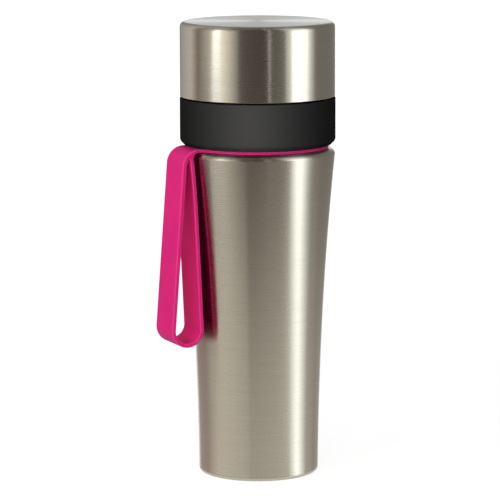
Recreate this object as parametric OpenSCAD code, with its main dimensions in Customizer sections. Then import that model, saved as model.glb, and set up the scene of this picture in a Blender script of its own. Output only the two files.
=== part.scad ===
// Insulated steel drinking bottle with a two-part screw closure and a silicone carry loop.
// Millimetres, +Z up, the origin at the middle of the foot, the carry loop on the -X side.
// Screw threads, brushing and rounded strap rims are left to the visual model.

/* [Bottle wall] */
// Radius of the bottle at its foot
base_r = 29.5; // [27:0.1:32]
// Radius at the widest point, just under the collar
shoulder_r = 38; // [36.5:0.1:40]
// Height of the widest point
shoulder_z = 159; // [140:1:180]
// Depth below the foot at which the arc of the wall would stand upright
wall_drop = 14.6; // [0:0.2:25]
// Rounding of the shoulder, from the wall to the ledge
shoulder_round = 2.6; // [2:0.1:3.2]
// Sheet thickness of the outer wall
wall = 0.6; // [0.4:0.05:0.8]
// Width of the ledge from the shoulder in to the neck
ledge_w = 6; // [5.6:0.1:7.5]
// Height of the neck above the ledge
neck_h = 16.4; // [14:0.1:18]

/* [Inner flask] */
// Sheet thickness of the inner flask
flask_wall = 0.5; // [0.4:0.05:0.8]
// Vacuum space between the two walls
vacuum_gap = 2.4; // [2:0.1:3.4]
// Vacuum space between the two tubes of the neck
neck_gap = 0.8; // [0.5:0.1:1.2]
// Height of the inner flask above the foot
flask_z = 9; // [7:0.1:12]
// Rounding at the foot of the inner flask
flask_round = 7; // [4:0.5:10]
// Rounding where the inner flask narrows to its neck
throat_round = 3; // [2:0.1:3.6]

/* [Base] */
// Rounding of the foot edge
foot_round = 2; // [1.2:0.1:2.6]
// Width of the ring the bottle stands on
foot_w = 3.2; // [2:0.1:5]
// Depth of the hollow in the foot
foot_hollow = 2; // [1.2:0.1:2.6]
// Sheet thickness of the base
base_wall = 0.8; // [0.5:0.1:1.2]
// Height of the base wall tucked inside the bottle wall
base_tuck = 4.4; // [3:0.1:5]
// Clearance of that wall from the bottle wall
tuck_clear = 0.05; // [0.02:0.01:0.1]
// Seam left between the bottle wall and the base
base_seam = 0.2; // [0.1:0.05:0.4]
// Thickness of the disc that covers the base
cover_t = 0.6; // [0.4:0.1:0.9]
// Clearance of the cover disc round its edge
cover_clear = 0.3; // [0.1:0.05:0.6]
// Radius of the hole the air is drawn out through
vent_r = 1.2; // [0.8:0.1:2]
// Radius of the seal on that hole
pellet_r = 2.6; // [2.4:0.1:4]
// Height of the seal
pellet_h = 1.4; // [0.8:0.1:2]
// Rounding of the seal's edge
pellet_round = 0.6; // [0.3:0.05:0.7]
// Radius of the getter disc
getter_r = 6; // [4:0.5:9]
// Thickness of the getter disc
getter_t = 1.2; // [0.6:0.1:1.8]

/* [Carry loop] */
// Width of the band
band_w = 21; // [16:0.5:24]
// Thickness of the band
band_t = 2; // [1.6:0.1:2.4]
// Thickness of the ring round the neck
ring_t = 1.45; // [1.2:0.05:1.8]
// Width of the ring, outward from the neck
ring_w = 2.3; // [1.8:0.1:2.8]
// Clearance of the ring from the ledge, and from the collar
ring_clear = 0.18; // [0.1:0.01:0.3]
// Clearance of the ring and the band from the steel
strap_clear = 0.38; // [0.3:0.01:0.6]
// How far the ring's tab reaches past the shoulder
tab_out = 0.15; // [0.1:0.05:0.3]
// Half gap between the tab and the loop
tab_gap = 0.15; // [0.1:0.01:0.25]
// Outer radius of the fold at the top of the loop
fold_r = 8.6; // [7.6:0.1:9.6]
// Extra thickness of the band round the fold
fold_extra = 0.2; // [0:0.05:0.4]
// Distance of the middle of the fold inside the shoulder
fold_back = 2.4; // [2:0.1:3]
// Outer radius of the round at the bottom of the loop
loop_r = 8.4; // [7:0.1:9.5]
// Height of the middle of the bottom round
loop_z = 74.7; // [50:0.5:90]
// Distance of the bottom round from the bottle wall
loop_gap = 1.8; // [1.2:0.05:3]
// Length of the inner run, below the shoulder, that follows the flare of the bottle
flare_run = 29; // [25:1:36]
// Distance of the inner run from the bottle wall at the foot of that length
flare_gap = 0.72; // [0.6:0.02:1]
// Angle up the fold at which the opening of the loop ends
opening_a = 30; // [20:1:34]

/* [Lid] */
// How far the grip stands out past the shoulder
grip_out = 0.15; // [0:0.05:0.5]
// Height of the grip
grip_h = 22.8; // [21:0.1:26]
// Wall of the grip
grip_wall = 2.55; // [2:0.05:2.8]
// Size of the slanted lower edge of the grip
grip_chamfer = 2.05; // [1.5:0.05:2.2]
// Rounding of the grip's top edge
grip_edge = 0.4; // [0.2:0.05:0.8]
// Rounding above the slanted edge
grip_round = 2.2; // [1:0.1:3]
// Wall of the threaded skirt
skirt_wall = 2; // [1.6:0.1:2.1]
// How far the skirt stays above the lower edge of the grip
skirt_rise = 0.2; // [0:0.05:0.6]
// How far the skirt stays below the top edge of the grip
skirt_drop = 0.4; // [0.2:0.05:0.8]
// Thickness of the deck
deck_t = 2.4; // [2:0.1:3]
// Clearance of a seal from each face it works on
seal_clear = 0.1; // [0.05:0.01:0.15]
// Thickness of the neck seal
neck_seal_t = 1.8; // [1.4:0.1:2.4]
// How far the neck seal reaches in past the mouth of the flask
neck_seal_in = 0.6; // [0.3:0.1:1.5]
// Clearance of a seal from the round wall beside it
seal_side = 0.35; // [0.3:0.01:0.5]
// How far the drinking spout stands in from the neck
spout_inset = 9; // [8:0.1:11]
// Wall of the drinking spout
spout_wall = 2.4; // [2:0.1:2.8]
// Height of the drinking spout above the deck
spout_h = 21.6; // [20:0.1:23]
// How far the flange of the spout reaches past its wall
spout_flange = 3.4; // [3:0.1:4]
// Clearance of the spout in the deck
spout_clear = 0.05; // [0.02:0.01:0.1]
// Thickness of that flange
flange_t = 1.8; // [1.4:0.1:2.2]
// Thickness of the ring seal in the flange
ring_seal_t = 1; // [0.7:0.05:1.2]
// Width of the ring seal
ring_seal_w = 1.4; // [1:0.1:1.6]
// Distance of the ring seal from the spout's wall
ring_seal_in = 0.8; // [0.5:0.1:1.2]
// Thickness of the mixing screen
screen_t = 1.2; // [0.8:0.1:1.6]
// How far the mixing screen stays inside the edge of the flange
screen_in = 0.6; // [0.3:0.1:1]
// Width of the solid rim of the mixing screen
screen_rim = 3; // [2.4:0.1:4]
// Radius of each hole in the mixing screen
screen_hole_r = 1.5; // [1:0.1:1.8]
// Spacing of those holes
screen_pitch = 5.2; // [4.6:0.1:6.5]

/* [Cap] */
// How far the cap stands in from the grip
cap_inset = 0.15; // [0:0.05:0.6]
// Height of the cap
cap_h = 36.5; // [34:0.1:40]
// Shadow gap between the collar and the cap
cap_gap = 0.8; // [0.5:0.05:1]
// Rounding of the cap's top edge
cap_round = 1.3; // [0.8:0.1:2.4]
// Wall of the cap's lining
liner_wall = 1.8; // [1.4:0.1:2.2]
// Room for a screw thread between two walls
thread_room = 1.6; // [1.4:0.05:1.8]
// Wall of the cap's threaded socket
socket_wall = 2.2; // [1.8:0.1:2.6]
// Height of the socket's edge above the grip
socket_rise = 2; // [1:0.1:3]
// Thickness of the web over the socket
web_t = 2.4; // [2:0.1:3]
// Thickness of the cap seal
cap_seal_t = 2; // [1.6:0.1:2.4]
// How far the cap seal reaches in past the spout's wall
cap_seal_in = 1.2; // [0.6:0.1:2]
// Height of the lining's wall above the web
liner_up = 5; // [3:0.1:8]
// Clearance of the foam inside the lining
foam_clear = 0.3; // [0.1:0.05:0.6]
// How far the lining stays above the cap's edge
liner_rise = 0.8; // [0.4:0.1:1.6]

/* [Hidden] */
$fn = 180;
// overlap of shapes that are joined, and overshoot of cuts
eps = 0.01;
cut = 1;
steel = [0.66, 0.63, 0.58];
steel_in = [0.74, 0.73, 0.71];
plastic = [0.2, 0.2, 0.2];
grip_grey = [0.25, 0.25, 0.245];
silicone = [0.82, 0.16, 0.45];
clear_seal = [0.86, 0.86, 0.84];
foam_white = [0.93, 0.93, 0.9];
// the wall is one arc, almost upright at the foot and as wide as the shoulder at the top
flare = shoulder_r - base_r;
arc_x = (flare * flare + shoulder_z * (shoulder_z + 2 * wall_drop)) / (2 * flare);
arc_r = norm([arc_x, wall_drop]);
neck_r = shoulder_r - ledge_w;
ledge_z = shoulder_z + shoulder_round;
neck_top = ledge_z + neck_h;
lip_z = neck_top - flask_wall;
shell_z = foot_round + base_seam;
flask_in = wall + vacuum_gap;
flask_neck_r = neck_r - wall - neck_gap;
mouth_r = flask_neck_r - flask_wall;
flask_bend_z = flask_z + flask_round;
foot_in = base_r - foot_round - foot_w;
hollow_r = foot_in - foot_hollow / 2;
// the ring lies between the ledge and the collar
ring_z = ledge_z + ring_clear;
ring_top = ring_z + ring_t;
ring_in = neck_r + strap_clear;
ring_out = ring_in + ring_w;
tab_x = shoulder_r + tab_out;
loop_x0 = tab_x + 2 * tab_gap;
swing_x = tab_x + tab_gap;
fold_x = shoulder_r - fold_back;
fold_z = ring_top - fold_r;
swing_z = fold_z + sqrt(fold_r * fold_r - pow(swing_x - fold_x, 2));
loop_x = wall_r(loop_z) + loop_gap + loop_r;
// the outer run is a tangent to both rounds, and the inner run leaves the bottom round along the wall
run_len = sqrt(pow(loop_x - fold_x, 2) + pow(fold_z - loop_z, 2));
outer_a = acos((fold_r - loop_r) / run_len) - atan2(fold_z - loop_z, loop_x - fold_x);
flare_z = shoulder_z - flare_run;
inner_lean = (wall_r(flare_z) + flare_gap - loop_x + loop_r) / (flare_z - loop_z);
inner_a = 180 - atan(inner_lean);
inner_x0 = loop_x + loop_r * cos(inner_a);
inner_z0 = loop_z + loop_r * sin(inner_a);
inner_end = shoulder_r + strap_clear;
flare_k = (inner_end - inner_x0 - inner_lean * (shoulder_z - inner_z0)) / pow(shoulder_z - flare_z, 2);
// the lid
grip_r = shoulder_r + grip_out;
grip_z = ring_top + ring_clear;
grip_top = grip_z + grip_h;
skirt_r = grip_r - grip_wall;
skirt_in = skirt_r - skirt_wall;
neck_seal_z = neck_top + seal_clear;
deck_z = neck_seal_z + neck_seal_t + seal_clear;
deck_top = deck_z + deck_t;
spout_r = neck_r - spout_inset;
spout_z = deck_z - flange_t;
spout_top = deck_top + spout_h;
spout_in = spout_r - spout_wall;
flange_r = spout_r + spout_flange;
screen_r = flange_r - screen_in;
seal_groove_r = spout_r + ring_seal_in;
screen_z = spout_z - screen_t;
// the cap
cap_r = grip_r - cap_inset;
cap_z = grip_top + cap_gap;
cap_top = cap_z + cap_h;
liner_z = cap_z + liner_rise;
liner_r = cap_r - wall;
liner_in = liner_r - liner_wall;
socket_in = spout_r + thread_room;
socket_r = socket_in + socket_wall;
cap_seal_z = spout_top + seal_clear;
web_z = cap_seal_z + cap_seal_t + seal_clear;
web_top = web_z + web_t;
socket_z = grip_top + socket_rise;
foam_r = min(liner_in, cap_r - cap_round) - foam_clear;

// radius of the bottle wall at a height
function wall_r(z) = base_r + arc_x - sqrt(arc_r * arc_r - pow(z + wall_drop, 2));

// points along an arc in the plane of the loop
function bend(x, z, r, a, b, n) = [
  for (i = [0 : n]) [x + r * cos(a + (b - a) * i / n), z + r * sin(a + (b - a) * i / n)]
];

// distance from the axis to the inner run's bottle side, at a height
function inner_run(z) = inner_x0 + inner_lean * (z - inner_z0) + flare_k * pow(max(0, z - flare_z), 2);

// half section inside the bottle wall, shrunk by a thickness, between two heights
module bottle_section(t, low, high) {
  difference() {
    translate([0, low]) square([shoulder_r - t + cut, shoulder_z - low]);
    translate([base_r - t + arc_x, -wall_drop]) circle(arc_r, $fn = 1440);
  }
  intersection() {
    translate([shoulder_r - shoulder_round, shoulder_z]) circle(shoulder_round - t);
    translate([0, shoulder_z]) square([shoulder_r, shoulder_round]);
  }
  translate([0, shoulder_z]) square([shoulder_r - shoulder_round, shoulder_round - t]);
  translate([0, shoulder_z]) square([neck_r - t, high - shoulder_z]);
}

// half section inside the inner flask, shrunk by a thickness, up to a height
module flask_section(t, high) {
  top_z = shoulder_z - flask_in - throat_round;
  top_r = wall_r(top_z) - flask_in;
  bend_r = wall_r(flask_bend_z) - flask_in;
  difference() {
    translate([0, flask_bend_z]) square([shoulder_r, top_z - flask_bend_z]);
    translate([base_r - flask_in - t + arc_x, -wall_drop]) circle(arc_r, $fn = 1440);
  }
  intersection() {
    translate([bend_r - flask_round, flask_bend_z]) circle(flask_round - t);
    translate([0, flask_z]) square([bend_r, flask_round]);
  }
  translate([0, flask_z + t]) square([bend_r - flask_round, flask_round - t]);
  intersection() {
    translate([top_r - throat_round, top_z]) circle(throat_round - t);
    translate([0, top_z]) square([top_r, throat_round]);
  }
  translate([0, top_z]) square([top_r - throat_round, throat_round - t]);
  translate([0, top_z]) square([flask_neck_r - t, high - top_z]);
}

// half section of a round block with a rounded top edge
module round_top(r, low, high, edge) {
  translate([0, low]) square([r - edge, high - low]);
  translate([0, low]) square([r, high - low - edge]);
  translate([r - edge, high - edge]) circle(edge);
}

// a plain ring or tube
module tube(inner, outer, low, high) {
  rotate_extrude() translate([inner, low]) square([outer - inner, high - low]);
}

// an upright outline drawn outward from the axis, made into a band across the -X side
module band(points, width) {
  rotate([0, 0, 180])
    translate([0, width / 2, 0])
      rotate([90, 0, 0])
        linear_extrude(width) polygon(points);
}

module outer_shell() {
  color(steel)
    rotate_extrude() difference() {
      bottle_section(0, shell_z, lip_z);
      bottle_section(wall, shell_z - cut, lip_z + cut);
    }
}

module inner_flask() {
  color(steel_in)
    rotate_extrude() {
      difference() {
        flask_section(0, neck_top);
        flask_section(flask_wall, neck_top + cut);
      }
      translate([mouth_r, lip_z]) square([neck_r - mouth_r, flask_wall]);
    }
}

// pressed base: a rounded foot, a standing ring, a hollow middle and a wall tucked inside the bottle
module base_cup() {
  tuck_r = base_r - wall - tuck_clear;
  rise = foot_hollow + base_wall;
  tuck_z = foot_round + base_seam + base_tuck;
  color(steel)
    difference() {
      rotate_extrude() difference() {
        union() {
          intersection() {
            translate([base_r - foot_round, foot_round]) circle(foot_round);
            square([base_r, foot_round]);
          }
          square([base_r - foot_round, foot_round]);
          translate([0, foot_round - eps]) square([tuck_r, tuck_z - foot_round]);
        }
        polygon([
          [0, -foot_hollow], [2 * foot_in - hollow_r, -foot_hollow], [foot_in, 0],
          [hollow_r, foot_hollow], [0, foot_hollow]
        ]);
        polygon([
          [0, rise], [hollow_r + base_wall, rise], [foot_in + base_wall, base_wall],
          [base_r - foot_round, base_wall], [tuck_r - base_wall, foot_round],
          [tuck_r - base_wall, tuck_z + cut], [0, tuck_z + cut]
        ]);
      }
      translate([0, 0, foot_hollow - cut]) cylinder(r = vent_r, h = base_wall + 2 * cut);
    }
}

module base_cover() {
  color(steel)
    translate([0, 0, foot_hollow - cover_t]) cylinder(r = hollow_r - cover_clear, h = cover_t);
}

module vacuum_seal() {
  low = foot_hollow + base_wall;
  color(clear_seal)
    rotate_extrude() round_top(pellet_r, low, low + pellet_h, pellet_round);
}

module getter() {
  color(steel_in)
    translate([0, 0, flask_z - getter_t]) cylinder(r = getter_r, h = getter_t);
}

// the ring turns on the neck, and its tab reaches out under the collar to the loop
module strap_ring() {
  tab_a = acos((tab_x - fold_x) / fold_r);
  tab_in = ring_in - 2 * band_t;
  color(silicone) {
    tube(ring_in, ring_out, ring_z, ring_top);
    difference() {
      band(concat(
        [[tab_in, ring_z], [tab_in, ring_top]],
        bend(fold_x, fold_z, fold_r, 90, tab_a, 4),
        [[tab_x, ring_z]]
      ), band_w);
      translate([0, 0, ring_z - cut]) cylinder(r = ring_in, h = ring_t + 2 * cut);
    }
  }
}

// a closed teardrop: a fold at the top, two runs and a round at the bottom
module strap_loop() {
  face_a = acos((loop_x0 - fold_x) / fold_r);
  color(silicone)
    difference() {
      band(concat(
        bend(fold_x, fold_z, fold_r, face_a, outer_a, 12),
        bend(loop_x, loop_z, loop_r, outer_a, inner_a - 360, 28),
        [for (i = [0 : 8]) let(z = flare_z + (shoulder_z - flare_z) * i / 8) [inner_run(z), z]],
        [[loop_x0, (shoulder_z + ledge_z) / 2]]
      ), band_w);
      loop_opening();
    }
}

// the opening of the loop, a band thickness inside its outline
module loop_opening() {
  fold_in = fold_r - band_t - fold_extra;
  top_z = fold_z + fold_in * sin(opening_a) - fold_extra;
  band(concat(
    bend(fold_x, fold_z, fold_in, opening_a, outer_a, 5),
    bend(loop_x, loop_z, loop_r - band_t, outer_a, inner_a - 360, 24),
    [for (i = [0 : 6]) let(z = flare_z + (top_z - flare_z) * i / 6) [inner_run(z) + band_t, z]]
  ), band_w + 2 * cut);
}

module neck_seal() {
  color(clear_seal)
    tube(mouth_r - neck_seal_in, skirt_in - seal_side, neck_seal_z, neck_seal_z + neck_seal_t);
}

// soft sleeve over the lid, slanted below so that the carry loop can swing up
module grip_sleeve() {
  bend_z = grip_z + grip_chamfer + grip_round * tan(22.5);
  color(grip_grey)
    rotate_extrude() difference() {
      union() {
        polygon([
          [skirt_r - cut, grip_z], [grip_r - grip_chamfer, grip_z],
          [grip_r - grip_round * (1 - cos(45)), bend_z - grip_round * sin(45)],
          [grip_r - grip_round, bend_z], [skirt_r - cut, bend_z]
        ]);
        intersection() {
          translate([grip_r - grip_round, bend_z]) circle(grip_round);
          translate([skirt_r - cut, grip_z]) square([grip_wall + cut, bend_z - grip_z]);
        }
        round_top(grip_r, bend_z, grip_top, grip_edge);
      }
      translate([0, grip_z - cut]) square([skirt_r, grip_h + 2 * cut]);
    }
}

module lid_core() {
  color(plastic) {
    tube(skirt_in, skirt_r, grip_z + skirt_rise, grip_top - skirt_drop);
    tube(spout_r + spout_clear, skirt_in + skirt_wall / 2, deck_z, deck_top);
  }
}

// snap-in spout: a flange under the deck with a groove for its ring seal, and a rounded drinking lip
module drinking_spout() {
  lip = spout_wall / 2;
  color(plastic)
    rotate_extrude() difference() {
      union() {
        translate([spout_in, spout_z]) square([flange_r - spout_in, flange_t]);
        translate([spout_in, spout_z]) square([spout_wall, spout_top - lip - spout_z]);
        translate([spout_in + lip, spout_top - lip]) circle(lip);
      }
      translate([seal_groove_r, deck_z - ring_seal_t]) square([ring_seal_w, ring_seal_t + cut]);
    }
}

module spout_seal() {
  color(silicone)
    tube(seal_groove_r, seal_groove_r + ring_seal_w, deck_z - ring_seal_t, deck_z);
}

// screen that breaks up powder, holes on a three-way grid inside a solid rim
module mixing_screen() {
  rows = ceil(screen_r / screen_pitch);
  color(plastic)
    difference() {
      translate([0, 0, screen_z]) cylinder(r = screen_r, h = screen_t);
      for (i = [-rows : rows]) {
        for (j = [-rows : rows]) {
          x = screen_pitch * (i + j / 2);
          y = screen_pitch * j * sin(60);
          if (norm([x, y]) < screen_r - screen_rim - screen_hole_r) {
            translate([x, y, screen_z - cut]) cylinder(r = screen_hole_r, h = screen_t + 2 * cut, $fn = 24);
          }
        }
      }
    }
}

module cap_seal() {
  color(clear_seal)
    tube(spout_in - cap_seal_in, socket_in - seal_side, cap_seal_z, cap_seal_z + cap_seal_t);
}

module cap_shell() {
  color(steel)
    rotate_extrude() difference() {
      round_top(cap_r, cap_z, cap_top, cap_round);
      round_top(cap_r - wall, cap_z - cut, cap_top - wall, cap_round - wall);
    }
}

// lining of the cap: a wall that grips the steel, a web and the threaded socket for the spout
module cap_liner() {
  color(plastic) {
    tube(liner_in, liner_r, liner_z, web_top + liner_up);
    translate([0, 0, web_z]) cylinder(r = (liner_in + liner_r) / 2, h = web_t);
    tube(socket_in, socket_r, socket_z, web_z + eps);
  }
}

module cap_foam() {
  color(foam_white)
    translate([0, 0, web_top]) cylinder(r = foam_r, h = cap_top - wall - web_top);
}

outer_shell();
inner_flask();
base_cup();
base_cover();
vacuum_seal();
getter();
strap_ring();
strap_loop();
neck_seal();
grip_sleeve();
lid_core();
drinking_spout();
spout_seal();
mixing_screen();
cap_seal();
cap_shell();
cap_liner();
cap_foam();
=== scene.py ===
from math import acos, asin, atan, atan2, ceil, cos, degrees, hypot, pi, radians, sin, sqrt, tan

import bmesh
import bpy
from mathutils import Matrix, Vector
from mathutils.geometry import tessellate_polygon


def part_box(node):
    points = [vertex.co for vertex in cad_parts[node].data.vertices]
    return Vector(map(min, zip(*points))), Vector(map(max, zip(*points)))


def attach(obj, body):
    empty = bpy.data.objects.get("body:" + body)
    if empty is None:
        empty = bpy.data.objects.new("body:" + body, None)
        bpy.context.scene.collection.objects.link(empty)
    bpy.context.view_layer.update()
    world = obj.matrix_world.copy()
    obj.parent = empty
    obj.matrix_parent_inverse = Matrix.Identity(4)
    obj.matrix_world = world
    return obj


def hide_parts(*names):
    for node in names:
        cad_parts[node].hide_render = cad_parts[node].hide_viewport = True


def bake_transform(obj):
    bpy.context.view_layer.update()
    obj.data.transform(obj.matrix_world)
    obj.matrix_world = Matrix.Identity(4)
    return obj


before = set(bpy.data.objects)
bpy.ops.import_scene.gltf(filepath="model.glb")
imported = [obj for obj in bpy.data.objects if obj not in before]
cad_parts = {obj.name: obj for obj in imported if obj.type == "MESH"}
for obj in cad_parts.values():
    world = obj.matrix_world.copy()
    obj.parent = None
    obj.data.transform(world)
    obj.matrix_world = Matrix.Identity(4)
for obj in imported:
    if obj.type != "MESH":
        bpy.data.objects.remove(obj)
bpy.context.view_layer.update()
scene = bpy.context.scene
scene.view_settings.view_transform = "Standard"

# Camera
# A long lens a little above the cap, standing to the loop side of the front.
# Distance, height and tilt come from the curves of the cap, the collar and the foot.
MM = 0.001
VIEW_TURN = radians(-24)
VIEW_DISTANCE = 1500 * MM
VIEW_HEIGHT = 343 * MM
VIEW_TILT = radians(8.815)
VIEW_ROLL = radians(0.15)
LENS_MM = 221.5
SIDE_SHIFT = -0.0136

camera = bpy.data.objects.new("camera", bpy.data.cameras.new("camera"))
camera.data.lens = LENS_MM
camera.data.shift_x = SIDE_SHIFT
camera.location = (VIEW_DISTANCE * sin(VIEW_TURN), -VIEW_DISTANCE * cos(VIEW_TURN), VIEW_HEIGHT)
camera.rotation_euler = (pi / 2 - VIEW_TILT, VIEW_ROLL, VIEW_TURN)
scene.collection.objects.link(camera)
scene.camera = camera

# Outer wall
# One steel tube drawn to a flare that is almost upright at the foot, necked in over a rounded shoulder.
# It is brushed while it spins, so fine lines run round it and reflections stretch up and down.
SHOULDER_Z = 159 * MM
SHOULDER_ROUND = 2.6 * MM
SHOULDER_SWEEP = radians(50)
SHOULDER_STEPS = 8
SHOULDER_CREASE = 0.12 * MM
WALL = 0.6 * MM
WALL_DROP = 14.6 * MM
NECK_R = 32 * MM
NECK_ROOT = 0.5 * MM
NECK_ROOT_IN = 0.8 * MM
FOOT_ROUND = 2 * MM
SEAM = 0.04 * MM
EDGE = 0.2 * MM
ROUND_STEP = radians(12)
BRUSHED = (0.46, 0.428, 0.356)
STEEL_LINE = 0.4 * MM
STEEL_STROKE = 14 * MM
WIDE_LINES = 0.16
QUARTER_TURN = 0.25
MASK_LOW = 0.3
MASK_HIGH = 0.7
wall_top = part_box("outer_shell")[1]
foot_low, foot_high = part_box("base_cup")
SHOULDER_R = wall_top.x
FOOT_R = foot_high.x
LEDGE_Z = SHOULDER_Z + SHOULDER_ROUND
FLARE = SHOULDER_R - FOOT_R
ARC_X = (FLARE ** 2 + SHOULDER_Z * (SHOULDER_Z + 2 * WALL_DROP)) / (2 * FLARE)
ARC_R = hypot(ARC_X, WALL_DROP)


def wall_radius(z):
    """Radius of the bottle's outer face at a height."""
    return FOOT_R + ARC_X - sqrt(ARC_R ** 2 - (z + WALL_DROP) ** 2)


def wall_run(inset, low, high, count=36):
    """Corners up the flare, a distance inside the outer face."""
    heights = [low + (high - low) * i / count for i in range(count + 1)]
    return [(wall_radius(z) - inset, z, 0) for z in heights]


def rounded(corners, closed):
    """Points and outward normals along a half section with corners (radius, height, rounding)."""
    count = len(corners)
    area = sum(a[0] * b[1] - b[0] * a[1] for a, b in zip(corners, corners[1:] + corners[:1]))
    if area < 0:
        corners = corners[::-1]
    line = []
    for i, (r, z, fillet) in enumerate(corners):
        here = Vector((r, z))
        ahead = (Vector(corners[(i + 1) % count][:2]) - here).normalized()
        behind = (here - Vector(corners[i - 1][:2])).normalized()
        if not closed and i == 0:
            behind = ahead
        if not closed and i == count - 1:
            ahead = behind
        turn = atan2(behind.cross(ahead), behind.dot(ahead))
        if fillet == 0:
            way = (behind + ahead).normalized()
            line.append((here, Vector((way.y, -way.x))))
            continue
        sign = 1 if turn > 0 else -1
        side = Vector((-behind.y, behind.x)) * sign
        middle = here - behind * fillet * tan(abs(turn) / 2) + side * fillet
        steps = max(3, ceil(abs(turn) / ROUND_STEP))
        for k in range(steps + 1):
            a = turn * k / steps
            spoke = Vector((side.y * sin(a) - side.x * cos(a), -side.x * sin(a) - side.y * cos(a)))
            line.append((middle + spoke * fillet, spoke * sign))
    return line


def turned(name, corners, material, body, slot, *nodes, segments=192):
    """A piece turned round the axis from a half section, with true normals and a turning UV map."""
    closed = corners[0][0] > 0 or corners[-1][0] > 0
    line = rounded(corners, closed)
    lengths = [0]
    for (a, _), (b, _) in zip(line, line[1:] + line[:1]):
        lengths.append(lengths[-1] + (b - a).length)
    vertices, normals, rows = [], [], []
    for point, normal in line:
        spots = segments if point.x > 0 else 1
        rows.append(range(len(vertices), len(vertices) + spots))
        for k in range(spots):
            a = 2 * pi * k / segments
            vertices.append((point.x * cos(a), point.x * sin(a), point.y))
            normals.append((normal.x * cos(a), normal.x * sin(a), normal.y))
    faces, uvs = [], []
    for i in range(len(line) if closed else len(line) - 1):
        lower, upper = rows[i], rows[(i + 1) % len(line)]
        for k in range(segments):
            ring = [(lower, k, i), (lower, k + 1, i), (upper, k + 1, i + 1), (upper, k, i + 1)]
            if len(lower) == 1:
                ring.pop(0)
            if len(upper) == 1:
                ring.pop(2)
            faces.append([row[spot % len(row)] for row, spot, _ in ring])
            uvs += [x for _, spot, place in ring for x in (spot / segments, lengths[place])]
    mesh = bpy.data.meshes.new(name)
    mesh.from_pydata(vertices, [], faces)
    mesh.uv_layers.new(name="turning").data.foreach_set("uv", uvs)
    mesh.polygons.foreach_set("use_smooth", [True] * len(faces))
    mesh.normals_split_custom_set_from_vertices(normals)
    mesh.materials.append(material)
    return settle(bpy.data.objects.new(name, mesh), body, slot, *nodes)


def settle(piece, body, slot, *nodes):
    """Puts a finished piece on its body, in place of the plain solids that it stands for."""
    scene.collection.objects.link(piece)
    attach(piece, body)
    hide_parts(*nodes)
    return piece


def node(tree, kind, inputs=None, **settings):
    """A new node with its settings, each input set to a value or linked to a socket."""
    new = tree.nodes.new(kind)
    for name, value in settings.items():
        setattr(new, name, value)
    for name, value in (inputs or {}).items():
        if isinstance(value, bpy.types.NodeSocket):
            tree.links.new(value, new.inputs[name])
        else:
            new.inputs[name].default_value = value
    return new


def made(tree, kind, inputs=None, **settings):
    """What a new node puts out first."""
    return node(tree, kind, inputs, **settings).outputs[0]


def maths(tree, kind, a, b=0):
    """One step of arithmetic in a tree."""
    return made(tree, "ShaderNodeMath", {0: a, 1: b}, operation=kind)


def effect(name, inputs, outputs):
    """An empty shader group with named number inputs and outputs."""
    group = bpy.data.node_groups.new(name, "ShaderNodeTree")
    for label, value in inputs.items():
        socket = group.interface.new_socket(label, in_out="INPUT", socket_type="NodeSocketFloat")
        socket.default_value = value
    for label in outputs:
        group.interface.new_socket(label, in_out="OUTPUT", socket_type="NodeSocketFloat")
    return group, node(group, "NodeGroupInput").outputs, node(group, "NodeGroupOutput").inputs


def surface(name, **values):
    """A new material and its surface shader, whose constant values sit on the shader's own sockets."""
    material = bpy.data.materials.new(name)
    material.use_nodes = True
    shader = material.node_tree.nodes["Principled BSDF"]
    for label, value in values.items():
        shader.inputs[label.replace("_", " ")].default_value = value
    return material, material.node_tree, shader


def toned(tree, shader, mask, colour, spread, roughness, rough_spread):
    """Colour and roughness that follow a mask, each by a share to either side of its middle."""
    tint = node(tree, "ShaderNodeValToRGB", {"Fac": mask})
    shares = (1 - spread, 1 + spread)
    for end, share, at in zip(tint.color_ramp.elements, shares, (MASK_LOW, MASK_HIGH)):
        end.position = at
        end.color = [min(1, c * share) for c in colour] + [1]
    rough = made(tree, "ShaderNodeMapRange", {
        "Value": mask, "From Min": MASK_LOW, "From Max": MASK_HIGH,
        "To Min": roughness * (1 + rough_spread), "To Max": roughness * (1 - rough_spread)})
    tree.links.new(tint.outputs[0], shader.inputs["Base Color"])
    tree.links.new(rough, shader.inputs["Roughness"])


def relief(tree, shader, height, depth, strength):
    """A shallow bump of a real depth."""
    bump = made(tree, "ShaderNodeBump", {"Strength": strength, "Distance": depth, "Height": height})
    tree.links.new(bump, shader.inputs["Normal"])


# Lines round a turned piece: slow change along a stroke, quick change across it.
brushing, line_size, line_mask = effect(
    "brushed_lines", {"Line": STEEL_LINE, "Stroke": STEEL_STROKE}, ["Relief", "Tone"])
steel_place = node(brushing, "ShaderNodeTexCoord").outputs["Object"]
along_stroke = node(brushing, "ShaderNodeSeparateXYZ", {0: steel_place}).outputs
turning = made(brushing, "ShaderNodeUVMap", uv_map="turning")
across_lines = node(brushing, "ShaderNodeSeparateXYZ", {0: turning}).outputs
line_grid = made(brushing, "ShaderNodeCombineXYZ", {
    "X": maths(brushing, "DIVIDE", along_stroke["X"], line_size["Stroke"]),
    "Y": maths(brushing, "DIVIDE", along_stroke["Y"], line_size["Stroke"]),
    "Z": maths(brushing, "DIVIDE", across_lines["Y"], line_size["Line"])})
fine_lines = made(brushing, "ShaderNodeTexNoise", {
    "Vector": line_grid, "Scale": 1, "Detail": 3, "Roughness": 0.65})
wide_lines = made(brushing, "ShaderNodeTexNoise", {"Vector": line_grid, "Scale": WIDE_LINES, "Detail": 2})
line_tone = made(brushing, "ShaderNodeMix", {"Factor": 0.25, "A": fine_lines, "B": wide_lines})
brushing.links.new(fine_lines, line_mask["Relief"])
brushing.links.new(line_tone, line_mask["Tone"])


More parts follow.
